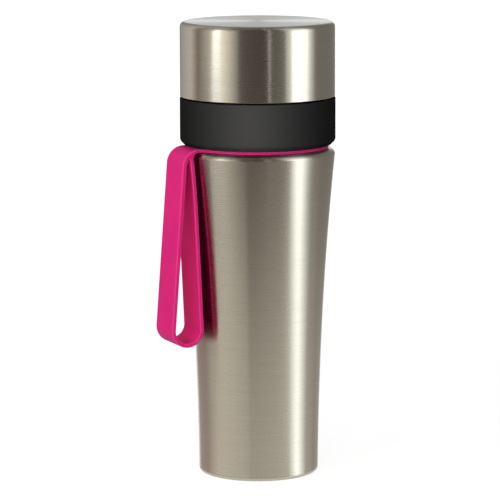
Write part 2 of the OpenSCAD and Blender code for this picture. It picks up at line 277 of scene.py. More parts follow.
def brushed(name, colour, roughness, stretch, line, stroke, depth):
    """Metal brushed round its axis, where light stretches across the lines."""
    material, tree, shader = surface(
        name, Metallic=1, Anisotropic=stretch, Anisotropic_Rotation=QUARTER_TURN)
    lines = node(tree, "ShaderNodeGroup", {"Line": line, "Stroke": stroke}, node_tree=brushing).outputs
    toned(tree, shader, lines["Tone"], colour, spread=0.05, roughness=roughness, rough_spread=0.03)
    relief(tree, shader, lines["Relief"], depth, strength=0.07)
    tangent = made(tree, "ShaderNodeTangent", direction_type="UV_MAP", uv_map="turning")
    tree.links.new(tangent, shader.inputs["Tangent"])
    return material


steel = brushed(
    "brushed_steel", BRUSHED, roughness=0.27, stretch=0.9, line=STEEL_LINE, stroke=STEEL_STROKE,
    depth=0.004 * MM)
shoulder_bend = SHOULDER_ROUND * sqrt(0.5) / sin(SHOULDER_SWEEP / 2)
crease = pi / 4 - SHOULDER_SWEEP / 2
bend_r = SHOULDER_R - shoulder_bend * cos(crease)
bend_z = SHOULDER_Z - shoulder_bend * sin(crease)
bends = [crease + SHOULDER_SWEEP * i / SHOULDER_STEPS for i in range(1, SHOULDER_STEPS + 1)]
wall_foot = FOOT_ROUND + SEAM
turned(
    "outer_wall",
    [(wall_radius(wall_foot), wall_foot, SEAM)] + wall_run(0, wall_foot + EDGE, SHOULDER_Z - EDGE)
    + [(SHOULDER_R, SHOULDER_Z, SHOULDER_CREASE)]
    + [(bend_r + shoulder_bend * cos(a), bend_z + shoulder_bend * sin(a), 0) for a in bends]
    + [(NECK_R, LEDGE_Z, NECK_ROOT), (NECK_R, wall_top.z, EDGE), (NECK_R - WALL, wall_top.z, EDGE),
       (NECK_R - WALL, LEDGE_Z - WALL, NECK_ROOT_IN),
       (SHOULDER_R - WALL, LEDGE_Z - WALL, SHOULDER_ROUND - WALL - EDGE)]
    + wall_run(WALL, wall_foot, SHOULDER_Z - EDGE)[::-1],
    steel, "bottle", "brushed_steel", "outer_shell", segments=256)

# Neck thread
# A single right-hand ridge rolled into the neck, which the lid screws down on.
# Its ends run out to nothing. The other three threads of the bottle come from the same tree.
LEAD = 6 * MM
RIDGE_HALF_WIDTH = 0.9 * MM
RIDGE_POINTS = 96
RIDGE_SIDES = 14
RUN_OUT = 0.08
RUN_OUT_SIZE = 0.02
NECK_RIDGE = 0.55 * MM
NECK_TURNS = 1.5
NECK_THREAD_Z = 165.8 * MM


def opened_tree(name, numbers, counts=()):
    """A geometry tree with named inputs and a material, its inputs' identifiers and their sockets."""
    tree = bpy.data.node_groups.new(name, "GeometryNodeTree")
    tree.interface.new_socket("Mesh", in_out="OUTPUT", socket_type="NodeSocketGeometry")
    kinds = dict.fromkeys(numbers, "Float") | dict.fromkeys(counts, "Int") | {"Material": "Material"}
    identifiers = {}
    for label, kind in kinds.items():
        socket = tree.interface.new_socket(label, in_out="INPUT", socket_type="NodeSocket" + kind)
        identifiers[label] = socket.identifier
    return tree, identifiers, node(tree, "NodeGroupInput").outputs


def closed_tree(tree, mesh, material):
    """Ends a geometry tree in a plain mesh with its material."""
    real = made(tree, "GeometryNodeRealizeInstances", {"Geometry": mesh})
    dressed = made(tree, "GeometryNodeSetMaterial", {"Geometry": real, "Material": material})
    node(tree, "NodeGroupOutput", {"Mesh": dressed})


def grown(name, tree, identifiers, values):
    """The plain mesh that a geometry tree makes from the values of its named inputs."""
    seed = bpy.data.objects.new(name, bpy.data.meshes.new(name))
    scene.collection.objects.link(seed)
    modifier = seed.modifiers.new(name, "NODES")
    modifier.node_group = tree
    for label, value in values.items():
        modifier[identifiers[label]] = value
    ready = seed.evaluated_get(bpy.context.evaluated_depsgraph_get())
    mesh = bpy.data.meshes.new_from_object(ready)
    bpy.data.objects.remove(seed)
    mesh.name = name
    return bpy.data.objects.new(name, mesh)


ridge, ridge_inputs, ridge_size = opened_tree(
    "thread_ridge", ("Radius", "Low", "Turns", "Lead", "Height", "Half Width"))
spiral = made(ridge, "GeometryNodeCurveSpiral", {
    "Resolution": RIDGE_POINTS, "Rotations": ridge_size["Turns"], "Start Radius": ridge_size["Radius"],
    "End Radius": ridge_size["Radius"], "Reverse": True,
    "Height": maths(ridge, "MULTIPLY", ridge_size["Turns"], ridge_size["Lead"])})
ridge_lift = made(ridge, "ShaderNodeCombineXYZ", {"Z": ridge_size["Low"]})
raised = made(ridge, "GeometryNodeTransform", {"Geometry": spiral, "Translation": ridge_lift})
along = node(ridge, "GeometryNodeCaptureAttribute")
along.capture_items.new("FLOAT", "Factor")
ridge.links.new(raised, along.inputs["Geometry"])
ridge.links.new(node(ridge, "GeometryNodeSplineParameter").outputs["Factor"], along.inputs["Factor"])
upright = made(ridge, "GeometryNodeSetCurveNormal", {"Curve": along.outputs["Geometry"]}, mode="Z_UP")
circle = made(ridge, "GeometryNodeCurvePrimitiveCircle", {"Resolution": RIDGE_SIDES, "Radius": 1})
oval_size = made(ridge, "ShaderNodeCombineXYZ", {
    "X": ridge_size["Height"], "Y": ridge_size["Half Width"], "Z": 1})
oval = made(ridge, "GeometryNodeTransform", {"Geometry": circle, "Scale": oval_size})
from_start = node(ridge, "GeometryNodeSplineParameter").outputs["Factor"]
from_end = maths(ridge, "SUBTRACT", 1, from_start)
run_out = made(ridge, "ShaderNodeMapRange", {
    "Value": maths(ridge, "MINIMUM", from_start, from_end), "From Max": RUN_OUT, "To Min": RUN_OUT_SIZE},
    interpolation_type="SMOOTHSTEP")
swept = made(ridge, "GeometryNodeCurveToMesh", {
    "Curve": upright, "Profile Curve": oval, "Scale": run_out, "Fill Caps": True})
ridge_place = made(ridge, "GeometryNodeInputPosition")
unrolled = made(ridge, "ShaderNodeCombineXYZ", {
    "X": maths(ridge, "MULTIPLY", along.outputs["Factor"], ridge_size["Turns"]),
    "Y": node(ridge, "ShaderNodeSeparateXYZ", {0: ridge_place}).outputs["Z"]})
mapped = made(ridge, "GeometryNodeStoreNamedAttribute", {
    "Geometry": swept, "Name": "turning", "Value": unrolled}, data_type="FLOAT2", domain="CORNER")
closed_tree(ridge, mapped, ridge_size["Material"])


def thread(name, radius, low, turns, height, material, body, slot):
    """A thread ridge, half of it proud of a wall of that radius."""
    piece = grown(name, ridge, ridge_inputs, {
        "Radius": radius, "Low": low, "Turns": turns, "Lead": LEAD, "Height": height,
        "Half Width": RIDGE_HALF_WIDTH, "Material": material})
    settle(piece, body, slot)


thread("neck_thread", NECK_R, NECK_THREAD_Z, NECK_TURNS, NECK_RIDGE, steel, "bottle", "brushed_steel")

# Inner flask
# A thinner steel flask inside the wall, welded to the neck at the lip with a vacuum all round it.
# It is electropolished: brighter than the outside, with only a trace of the turning lines.
FLASK_WALL = 0.5 * MM
VACUUM = 2.4 * MM
NECK_VACUUM = 0.8 * MM
FLASK_INSET = WALL + VACUUM
FLASK_NECK_R = NECK_R - WALL - NECK_VACUUM
FLASK_NECK_ROOT = 0.5 * MM
FLASK_ROUND = 7 * MM
THROAT_ROUND = 3 * MM
LIP_ROUND = 0.15 * MM
POLISHED = (0.6, 0.59, 0.565)
flask_low, flask_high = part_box("inner_flask")
throat_z = SHOULDER_Z - FLASK_INSET
lip_z = flask_high.z - FLASK_WALL
polished = brushed(
    "bright_steel", POLISHED, roughness=0.24, stretch=0.4, line=0.3 * MM, stroke=20 * MM,
    depth=0.002 * MM)


def flask_side(inset):
    """Corners of one face of the flask, from the middle of its floor up into its neck."""
    floor_z = flask_low.z + inset
    top_r = wall_radius(throat_z) - FLASK_INSET - inset
    run = wall_run(FLASK_INSET + inset, floor_z + FLASK_ROUND + EDGE, throat_z - THROAT_ROUND - 2 * EDGE)
    return [(0, floor_z, 0), (run[0][0], floor_z, FLASK_ROUND - 2 * inset)] + run + [
        (top_r, throat_z - inset, THROAT_ROUND - 2 * inset),
        (FLASK_NECK_R - inset, throat_z - inset, FLASK_NECK_ROOT)]


turned(
    "inner_flask",
    flask_side(0)
    + [(FLASK_NECK_R, lip_z, EDGE), (NECK_R, lip_z, LIP_ROUND), (NECK_R, flask_high.z, LIP_ROUND),
       (FLASK_NECK_R - FLASK_WALL, flask_high.z, LIP_ROUND)]
    + flask_side(FLASK_WALL)[::-1],
    polished, "bottle", "bright_steel", "inner_flask")

# Base cup
# A pressed steel cup welded into the wall: a rounded foot edge, a ring to stand on and a hollow middle.
# The air between the two walls is drawn out through the hole in its middle.
FOOT_RING_R = 24.3 * MM
HOLLOW_R = 23.3 * MM
HOLLOW_Z = 2 * MM
HOLLOW_BEND = 0.5 * MM
BASE_WALL = 0.8 * MM
AIR_HOLE_R = 1.2 * MM
TUCK_FIT = 0.05 * MM
TUCK_R = FOOT_R - WALL - TUCK_FIT
rise_z = HOLLOW_Z + BASE_WALL
turned(
    "base_cup",
    [(FOOT_R, FOOT_ROUND, SEAM), (FOOT_R, foot_low.z, FOOT_ROUND - EDGE),
     (FOOT_RING_R, foot_low.z, HOLLOW_BEND), (HOLLOW_R, HOLLOW_Z, HOLLOW_BEND),
     (AIR_HOLE_R, HOLLOW_Z, EDGE), (AIR_HOLE_R, rise_z, EDGE),
     (HOLLOW_R + BASE_WALL, rise_z, EDGE), (FOOT_RING_R + BASE_WALL, BASE_WALL, EDGE),
     (FOOT_R - FOOT_ROUND, BASE_WALL, EDGE), (TUCK_R - BASE_WALL, FOOT_ROUND, EDGE),
     (TUCK_R - BASE_WALL, foot_high.z, EDGE), (TUCK_R, foot_high.z, EDGE), (TUCK_R, FOOT_ROUND, 0)],
    steel, "bottle", "brushed_steel", "base_cup")

# Base cover
# A thin steel disc fixed in the hollow of the base, which hides the air hole.
# It is spun, with coarser lines than the wall, and its middle is dished by a hair.
COVER_DISH = 0.15 * MM
DISH_SHARE = 0.9
DISH_BEND = 2 * MM
RIM_SHARE = 0.95
RIM_BEND = 1 * MM
cover_low, cover_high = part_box("base_cover")
dish_z = cover_low.z + COVER_DISH
spun = brushed(
    "spun_steel", BRUSHED, roughness=0.34, stretch=0.7, line=0.5 * MM, stroke=30 * MM, depth=0.006 * MM)
turned(
    "base_cover",
    [(0, dish_z, 0), (DISH_SHARE * cover_high.x, dish_z, DISH_BEND),
     (RIM_SHARE * cover_high.x, cover_low.z, RIM_BEND), (cover_high.x, cover_low.z, EDGE),
     (cover_high.x, cover_high.z, EDGE), (0, cover_high.z, 0)],
    spun, "bottle", "brushed_steel", "base_cover")

# Air hole seal
# A drop of solder glass that is melted over the air hole in the vacuum oven and closes it for good.
# It is grey-green and half clear, with small bubbles.
GLASS_TINT = (0.5, 0.55, 0.5)
DROP_ROUND = 1.1 * MM


def puck(low, high, lower, upper):
    """Half section of a plain disc in its box, with the roundings of its lower and upper edge."""
    return [(0, low.z, 0), (high.x, low.z, lower), (high.x, high.z, upper), (0, high.z, 0)]


def flecks(tree, kind, inputs, **settings):
    """A pattern that is fixed to the piece itself."""
    place = node(tree, "ShaderNodeTexCoord").outputs["Object"]
    return node(tree, kind, {"Vector": place, **inputs}, **settings).outputs


glass, glass_tree, glass_shader = surface("sealing_glass", IOR=1.5, Transmission_Weight=0.6)
bubbles = flecks(glass_tree, "ShaderNodeTexVoronoi", {"Scale": 2600})["Distance"]
toned(glass_tree, glass_shader, bubbles, GLASS_TINT, spread=0.12, roughness=0.12, rough_spread=0.3)
turned(
    "vacuum_seal", puck(*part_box("vacuum_seal"), EDGE, DROP_ROUND),
    glass, "bottle", "sealing_glass", "vacuum_seal", segments=64)

# Getter
# A disc pressed from metal powder and fixed under the flask's floor, where it takes up the last gas.
# It is matt grey and gritty.
POWDER = (0.3, 0.29, 0.28)
alloy, alloy_tree, alloy_shader = surface("getter_alloy", Metallic=1)
grit = flecks(alloy_tree, "ShaderNodeTexNoise", {"Scale": 3000, "Detail": 3})[0]
toned(alloy_tree, alloy_shader, grit, POWDER, spread=0.25, roughness=0.55, rough_spread=0.2)
relief(alloy_tree, alloy_shader, grit, depth=0.05 * MM, strength=0.5)
turned(
    "getter", puck(*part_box("getter"), EDGE, EDGE), alloy, "bottle", "bright_steel", "getter", segments=96)

# Carry strap
# One moulding in pink silicone: a ring in the groove round the neck, a tab over the shoulder and a
# closed teardrop of flat band with rounded rims.
PINK = (0.73, 0.013, 0.188)
# A painted highlight on the strap's rims: this pale pink, mixed in where pointiness runs between the two
# values below.
HIGHLIGHT_PINK = (0.8, 0.05, 0.25)
HIGHLIGHT_FROM = 0.508
HIGHLIGHT_FULL = 0.524
BAND = 2 * MM
FOLD_R = 8.6 * MM
FOLD_BACK = 2.4 * MM
FOLD_BAND = 2.2 * MM
LOOP_R = 8.4 * MM
FLARE_RUN = 29 * MM
FLARE_GAP = 0.72 * MM
STEEL_GAP = 0.38 * MM
RUN_START = 1 * MM
OPENING_TOP = radians(30)
TIP_STEP = radians(30)
RIM = 0.54 * MM
RIM_FLAT = 1.25
RIM_SIDE = 1.8
RIM_BENDS = [radians(a) for a in (90, 67.5, 45, 22.5, 0)]
TIGHTEST_MITRE = 0.5
RING_RIM = 0.35 * MM
RING_STEP = radians(2)
TAB_ROOT = 4 * MM
TAB_ROOT_STEP = radians(8)
TAB_OVERLAP = 1.2 * MM
TAB_BENDS = [radians(a) for a in range(8, 90, 8)]
SET_BACK = 0.02 * MM
SLIVER = SET_BACK / 10
SHARP_EDGE = radians(40)
loop_low, loop_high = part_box("strap_loop")
ring_low, ring_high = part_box("strap_ring")
RING_IN = NECK_R + STEEL_GAP
RING_OUT = ring_high.x
fold = Vector((SHOULDER_R - FOLD_BACK, ring_high.z - FOLD_R))
bottom = Vector((-loop_low.x - LOOP_R, loop_low.z + LOOP_R))
flare_z = SHOULDER_Z - FLARE_RUN
gap = fold - bottom
OUTER_LEAN = acos((FOLD_R - LOOP_R) / gap.length) - atan2(gap.y, -gap.x)
lean = (wall_radius(flare_z) + FLARE_GAP - bottom.x + LOOP_R) / (flare_z - bottom.y)
INNER_LEAN = pi - atan(lean) - 2 * pi
start = bottom + LOOP_R * Vector((cos(INNER_LEAN), sin(INNER_LEAN)))
bow = (SHOULDER_R + STEEL_GAP - start.x - lean * (SHOULDER_Z - start.y)) / FLARE_RUN ** 2


def arc(middle, r, a, b, step=radians(4)):
    """Points along an arc in the plane of the loop."""
    count = max(2, ceil(abs(b - a) / step))
    angles = [a + (b - a) * i / count for i in range(count + 1)]
    return [middle + r * Vector((cos(t), sin(t))) for t in angles]


def inner_run(offset, low, high, count=26):
    """Points up the run beside the bottle, which follows the flare of the wall near the top."""
    points = []
    for i in range(count + 1):
        z = low + (high - low) * i / count
        bowed = bow * max(0, z - flare_z) ** 2
        points.append(Vector((start.x + lean * (z - start.y) + bowed + offset, z)))
    return points


def straight(a, b, count=20):
    """Points between the ends of a straight run, both ends left out."""
    return [a.lerp(b, i / count) for i in range(1, count)]


def band_outline():
    """Outline of the band seen from its side: fold, outer run, bottom round, inner run and tab."""
    over = arc(fold, FOLD_R, pi / 2, OUTER_LEAN)
    under = arc(bottom, LOOP_R, OUTER_LEAN, INNER_LEAN)
    up = inner_run(0, start.y + RUN_START, SHOULDER_Z)
    reach = SHOULDER_R + STEEL_GAP - fold.x
    rise = ring_low.z - SHOULDER_Z
    neck_in = [Vector((fold.x + reach * cos(t), SHOULDER_Z + rise * sin(t))) for t in TAB_BENDS]
    tab_in = fold.x - TAB_OVERLAP
    tab = [Vector((x, ring_low.z)) for x in (fold.x, tab_in)] + [Vector((tab_in, ring_high.z))]
    return over + straight(over[-1], under[0]) + under + up + neck_in + tab


def band_opening():
    """Outline of the opening in the loop, a band thickness inside, closed by a tight round at the top."""
    over = arc(fold, FOLD_R - FOLD_BAND, OPENING_TOP, OUTER_LEAN)
    under = arc(bottom, LOOP_R - BAND, OUTER_LEAN, INNER_LEAN)
    up = inner_run(BAND, start.y + RUN_START, over[0].y)
    middle = (over[0] + up[-1]) / 2
    tip = arc(middle, (over[0] - up[-1]).length / 2, pi, 0, TIP_STEP)[1:-1]
    return over + straight(over[-1], under[0]) + under + up + tip


def moulded(name, outline, opening, width, rim, spot):
    """A flat outline with an opening, a width and rounded rims. spot turns (u, v, w) into a place."""
    form = bmesh.new()
    edge = [(rim * RIM_FLAT, width / 2)]
    edge += [(rim * (1 - cos(a)), width / 2 - rim * (1 - sin(a))) for a in RIM_BENDS]
    edge += [(0, width / 2 - rim * RIM_SIDE)]
    edge += [(inset, -w) for inset, w in edge[::-1]]
    sides = []
    for points, sign in ((outline, 1), (opening, -1)):
        area = sum(a.cross(b) for a, b in zip(points, points[1:] + points[:1]))
        if area * sign < 0:
            points = points[::-1]
        inward = []
        for before, here, after in zip(points[-1:] + points[:-1], points, points[1:] + points[:1]):
            a, b = (here - before).normalized(), (after - here).normalized()
            way = (a + b).normalized()
            inward.append(Vector((-way.y, way.x)) / max(TIGHTEST_MITRE, way.dot(a)))
        rows = [
            [form.verts.new(spot(*(p + inset * n), w)) for p, n in zip(points, inward)]
            for inset, w in edge]
        for first, second in zip(rows, rows[1:]):
            for k in range(len(points)):
                form.faces.new((first[k - 1], first[k], second[k], second[k - 1]))
        flat = [p + edge[0][0] * n for p, n in zip(points, inward)]
        sides.append((flat, rows))
    for end in (0, -1):
        spots = [vertex for _, rows in sides for vertex in rows[end]]
        for triangle in tessellate_polygon([[p.to_3d() for p in flat] for flat, _ in sides]):
            form.faces.new([spots[i] for i in triangle])
    bmesh.ops.recalc_face_normals(form, faces=form.faces)
    mesh = bpy.data.meshes.new(name)
    form.to_mesh(mesh)
    form.free()
    return bpy.data.objects.new(name, mesh)


def ring_outline():
    """Outline of the ring seen from above, flared out to the root of the tab."""
    half = loop_high.y - SET_BACK
    root = Vector((sqrt((RING_OUT + TAB_ROOT) ** 2 - (half + TAB_ROOT) ** 2), half + TAB_ROOT))
    away = atan2(root.y, root.x)
    round_in = arc(root, TAB_ROOT, away - pi, -pi / 2, TAB_ROOT_STEP)
    tab_end = fold.x + TAB_OVERLAP
    side = arc(Vector((0, 0)), RING_OUT, pi, away, RING_STEP) + round_in + [Vector((tab_end, half))]
    return side + [Vector((p.x, -p.y)) for p in side[::-1][:-1]]


band = moulded(
    "carry_strap", band_outline(), band_opening(), 2 * loop_high.y, RIM, lambda u, v, w: (-u, w, v))
ring_middle = (ring_low.z + ring_high.z) / 2
ring = moulded(
    "strap_ring_round", ring_outline(), arc(Vector((0, 0)), RING_IN, 0, 2 * pi, RING_STEP)[:-1],
    ring_high.z - ring_low.z - 2 * SET_BACK, RING_RIM, lambda u, v, w: (-u, v, ring_middle + w))
for half_made in (band, ring):
    scene.collection.objects.link(half_made)
joined = band.modifiers.new("joined", "BOOLEAN")
joined.operation = "UNION"
joined.object = ring
whole = bpy.data.meshes.new_from_object(band.evaluated_get(bpy.context.evaluated_depsgraph_get()))
for half_made in (band, ring):
    bpy.data.objects.remove(half_made)
seam = bmesh.new()
seam.from_mesh(whole)
bmesh.ops.dissolve_degenerate(seam, dist=SLIVER, edges=seam.edges)
seam.to_mesh(whole)
seam.free()
whole.name = "carry_strap"
whole.polygons.foreach_set("use_smooth", [True] * len(whole.polygons))
whole.set_sharp_from_angle(angle=SHARP_EDGE)

# Moulded skins: a fine even grain and a slow change of tone.
moulding, skin_size, skin_mask = effect(
    "moulded_skin", {"Grain": 0.3 * MM, "Cloud": 20 * MM}, ["Relief", "Tone"])
skin_grain, skin_cloud = (
    flecks(moulding, "ShaderNodeTexNoise", {
        "Scale": maths(moulding, "DIVIDE", 1, skin_size[label]), "Detail": 2})[0]
    for label in ("Grain", "Cloud"))
skin_tone = made(moulding, "ShaderNodeMix", {"Factor": 0.6, "A": skin_grain, "B": skin_cloud})
moulding.links.new(skin_grain, skin_mask["Relief"])
moulding.links.new(skin_tone, skin_mask["Tone"])


def moulded_skin(name, colour, roughness, specular, grain, depth, spread=0.05, **values):
    """A moulded rubber or plastic: even colour, fine grain and a slow change of sheen."""
    material, tree, shader = surface(name, Specular_IOR_Level=specular, **values)
    skin = node(tree, "ShaderNodeGroup", {"Grain": grain}, node_tree=moulding).outputs
    toned(tree, shader, skin["Tone"], colour, spread, roughness, rough_spread=0.1)
    relief(tree, shader, skin["Relief"], depth, strength=0.4)
    return material


silicone = moulded_skin(
    "pink_silicone", PINK, roughness=0.5, specular=0.05, grain=0.25 * MM, depth=0.012 * MM,
    Subsurface_Weight=0.4, Subsurface_Radius=(0.7, 0.3, 0.5), Subsurface_Scale=2 * MM)

# The rims of the band have a painted highlight: the colour turns a paler pink where they curve most. A
# colour mix has its sockets by number.
MIX_SHARE, MIX_FIRST, MIX_SECOND, MIX_COLOUR = 0, 6, 7, 2
pink_tree = silicone.node_tree
pink_colour = pink_tree.nodes["Principled BSDF"].inputs["Base Color"]
rims = node(pink_tree, "ShaderNodeNewGeometry").outputs["Pointiness"]
rim_highlight = made(pink_tree, "ShaderNodeMapRange", {"Value": rims, "From Min": HIGHLIGHT_FROM, "From Max": HIGHLIGHT_FULL})
rim_highlight_mix = node(pink_tree, "ShaderNodeMix", {
    MIX_SHARE: rim_highlight, MIX_FIRST: pink_colour.links[0].from_socket, MIX_SECOND: (*HIGHLIGHT_PINK, 1)},
    data_type="RGBA")
pink_tree.links.new(rim_highlight_mix.outputs[MIX_COLOUR], pink_colour)

whole.materials.clear()
whole.materials.append(silicone)
strap = bpy.data.objects.new("carry_strap", whole)
scene.collection.objects.link(strap)
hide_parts("strap_ring", "strap_loop")
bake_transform(strap)

# Neck seal
# A soft clear ring under the deck of the lid, squeezed on the lip of the neck.
# Two beads round its lower face do the sealing.
BEAD = 0.3 * MM
BEAD_PLACES = (0.28, 0.72)
BEAD_FOOT = 0.17
BEAD_CREST = 0.04
NECK_SEAL_IN = 29.5 * MM
CLEAR = (0.7, 0.7, 0.67)
clear = moulded_skin(
    "clear_silicone", CLEAR, roughness=0.45, specular=0.4, grain=0.3 * MM, depth=0.01 * MM,
    Subsurface_Weight=0.2)


def seal_ring(name, inner, low, high, material, body, slot):
    """A flat ring seal with two beads on its lower face."""
    width = high.x - inner
    foot, crest = BEAD_FOOT * width, BEAD_CREST * width
    beads = []
    for share in BEAD_PLACES:
        middle = inner + width * share
        beads += [(middle - foot, low.z + BEAD, BEAD / 2), (middle - crest, low.z, BEAD / 2),
                  (middle + crest, low.z, BEAD / 2), (middle + foot, low.z + BEAD, BEAD / 2)]
    corners = [(inner, low.z + BEAD, EDGE / 2)] + beads + [
        (high.x, low.z + BEAD, EDGE / 2), (high.x, high.z, EDGE), (inner, high.z, EDGE)]
    turned(name, corners, material, body, slot, name)


seal_ring("neck_seal", NECK_SEAL_IN, *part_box("neck_seal"), clear, "neck_seal", "seal")

# Grip
# A dark sleeve with a soft-touch skin, pressed over the lid. Its lower edge slants in over the strap,
# so that the loop can swing up past it.
GRIP_SLANT = 2.05 * MM
GRIP_ROUND = 2.2 * MM
GRIP_LOW_EDGE = 0.3 * MM
GRIP_TOP_EDGE = 0.4 * MM
GRIP_WALL = 2.55 * MM
CRISP = 0.1 * MM
SOFT_BLACK = (0.0165, 0.0163, 0.0158)
grip_low, grip_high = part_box("grip_sleeve")
GRIP_R = grip_high.x
SKIRT_R = GRIP_R - GRIP_WALL
soft_touch = moulded_skin(
    "soft_touch", SOFT_BLACK, roughness=0.65, specular=0, grain=0.2 * MM, depth=0.008 * MM, spread=0.03)
grip = turned(
    "grip_sleeve",
    [(SKIRT_R, grip_low.z, CRISP), (GRIP_R - GRIP_SLANT, grip_low.z, GRIP_LOW_EDGE),
     (GRIP_R, grip_low.z + GRIP_SLANT, GRIP_ROUND), (GRIP_R, grip_high.z, GRIP_TOP_EDGE),
     (SKIRT_R, grip_high.z, CRISP)],
    soft_touch, "lid", "grip", "grip_sleeve", segments=256)

# Lid core
# The hard black moulding inside the grip: a threaded skirt and the deck that carries the spout.
# Its thread runs in the spaces of the neck's.
SKIRT_WALL = 2 * MM
SKIRT_EDGE = 0.4 * MM
DECK_Z = 180 * MM
DECK = 2.4 * MM
DECK_ROOT = 0.8 * MM
SPOUT_R = 23 * MM
SPOUT_FIT = 0.05 * MM
LID_RIDGE = 1.2 * MM
INSIDE_TURNS = 1.25
HARD_BLACK = (0.02, 0.02, 0.021)
core_low, core_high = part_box("lid_core")
SKIRT_IN = SKIRT_R - SKIRT_WALL
black = moulded_skin(
    "black_plastic", HARD_BLACK, roughness=0.42, specular=0.45, grain=0.4 * MM, depth=0.015 * MM)
turned(
    "lid_core",
    [(SKIRT_IN, core_low.z, SKIRT_EDGE), (SKIRT_R, core_low.z, EDGE), (SKIRT_R, core_high.z, EDGE),
     (SKIRT_IN, core_high.z, SKIRT_EDGE), (SKIRT_IN, DECK_Z + DECK, DECK_ROOT),
     (SPOUT_R + SPOUT_FIT, DECK_Z + DECK, EDGE), (SPOUT_R + SPOUT_FIT, DECK_Z, EDGE),
     (SKIRT_IN, DECK_Z, EDGE)],
    black, "lid", "dark_plastic", "lid_core")
thread(
    "lid_thread", SKIRT_IN, NECK_THREAD_Z + LEAD / 2, INSIDE_TURNS, LID_RIDGE,
    black, "lid", "dark_plastic")

# Drinking spout
# A wide black tube snapped up through the deck, with a full round lip to drink from.
# It has a thread outside for the cap, and a groove in its flange for the ring seal.
SPOUT_WALL = 2.4 * MM
LIP_CREST = 0.05 * MM
SPOUT_ROUND = SPOUT_WALL / 2 - LIP_CREST
SPOUT_FOOT_EDGE = 0.4 * MM
FLANGE_EDGE = 0.3 * MM
GROOVE_R = 23.8 * MM
GROOVE_W = 1.4 * MM
GROOVE = 1 * MM
SPOUT_RIDGE = 0.9 * MM
SPOUT_TURNS = 1.5
SPOUT_THREAD_Z = 189.5 * MM
spout_low, spout_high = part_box("drinking_spout")
FLANGE_R = spout_high.x
SPOUT_IN = SPOUT_R - SPOUT_WALL
turned(
    "drinking_spout",
    [(SPOUT_IN, spout_low.z, SPOUT_FOOT_EDGE), (FLANGE_R, spout_low.z, FLANGE_EDGE),
     (FLANGE_R, DECK_Z, EDGE), (GROOVE_R + GROOVE_W, DECK_Z, CRISP),
     (GROOVE_R + GROOVE_W, DECK_Z - GROOVE, CRISP), (GROOVE_R, DECK_Z - GROOVE, CRISP),
     (GROOVE_R, DECK_Z, CRISP), (SPOUT_R, DECK_Z, CRISP),
     (SPOUT_R, spout_high.z, SPOUT_ROUND), (SPOUT_IN, spout_high.z, SPOUT_ROUND)],
    black, "lid", "dark_plastic", "drinking_spout")
thread("spout_thread", SPOUT_R, SPOUT_THREAD_Z, SPOUT_TURNS, SPOUT_RIDGE, black, "lid", "dark_plastic")

# Spout seal
# A pink silicone ring in the groove of the spout's flange, squeezed against the deck.
# It is of the same moulding compound as the strap.
SPOUT_SEAL_ROUND = 0.35 * MM
spout_seal_low, spout_seal_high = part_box("spout_seal")
turned(
    "spout_seal",
    [(GROOVE_R, spout_seal_low.z, EDGE), (spout_seal_high.x, spout_seal_low.z, EDGE),
     (spout_seal_high.x, spout_seal_high.z, SPOUT_SEAL_ROUND),
     (GROOVE_R, spout_seal_high.z, SPOUT_SEAL_ROUND)],
    silicone, "lid", "silicone", "spout_seal")

# Mixing screen
# A flat black disc snapped under the spout, with a three-way grid of holes inside a solid rim.
# It breaks up powder as the drink is shaken through it.
HOLE_R = 1.5 * MM
HOLE_SIDES = 20
HOLE_PITCH = 5.2 * MM
SCREEN_RIM = 3 * MM
SCREEN_SIDES = 128
WELD = 0.001 * MM
screen_low, screen_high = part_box("mixing_screen")
HOLE_ROWS = ceil(screen_high.x / HOLE_PITCH)

sieve, sieve_inputs, sieve_size = opened_tree(
    "hole_grid", ("Radius", "Low", "Thickness", "Hole Radius", "Pitch", "Row Pitch", "Field"), ("Rows",))
span = maths(sieve, "MULTIPLY", sieve_size["Rows"], 2)
points_across = maths(sieve, "ADD", span, 1)
lattice = made(sieve, "GeometryNodeMeshGrid", {
    "Size X": maths(sieve, "MULTIPLY", span, sieve_size["Pitch"]),
    "Size Y": maths(sieve, "MULTIPLY", span, sieve_size["Row Pitch"]),
    "Vertices X": points_across, "Vertices Y": points_across})
sieve_place = made(sieve, "GeometryNodeInputPosition")
row_y = node(sieve, "ShaderNodeSeparateXYZ", {0: sieve_place}).outputs["Y"]
row = maths(sieve, "ROUND", maths(sieve, "DIVIDE", row_y, sieve_size["Row Pitch"]))
odd = maths(sieve, "FLOORED_MODULO", row, 2)
aside = maths(sieve, "MULTIPLY", maths(sieve, "MULTIPLY", odd, 0.5), sieve_size["Pitch"])
sideways = made(sieve, "ShaderNodeCombineXYZ", {"X": aside})
staggered = made(sieve, "GeometryNodeSetPosition", {"Geometry": lattice, "Offset": sideways})
from_middle = node(sieve, "ShaderNodeVectorMath", {0: sieve_place}, operation="LENGTH")
inside = made(sieve, "FunctionNodeCompare", {
    "A": from_middle.outputs["Value"], "B": sieve_size["Field"]}, operation="LESS_THAN")
dots = made(sieve, "GeometryNodeMeshToPoints", {"Mesh": staggered, "Selection": inside})
hole = made(sieve, "GeometryNodeCurvePrimitiveCircle", {
    "Resolution": HOLE_SIDES, "Radius": sieve_size["Hole Radius"]})
placed = made(sieve, "GeometryNodeInstanceOnPoints", {"Points": dots, "Instance": hole})
holes = made(sieve, "GeometryNodeRealizeInstances", {0: placed})
disc = made(sieve, "GeometryNodeCurvePrimitiveCircle", {
    "Resolution": SCREEN_SIDES, "Radius": sieve_size["Radius"]})
curves = node(sieve, "GeometryNodeJoinGeometry")
for curve in (disc, holes):
    sieve.links.new(curve, curves.inputs[0])
plate = made(sieve, "GeometryNodeFillCurve", {"Curve": curves.outputs[0]}, mode="TRIANGLES")
thick = made(sieve, "ShaderNodeCombineXYZ", {"Z": sieve_size["Thickness"]})
upper = node(sieve, "GeometryNodeExtrudeMesh", {
    "Mesh": plate, "Offset": thick, "Offset Scale": 1, "Individual": False})
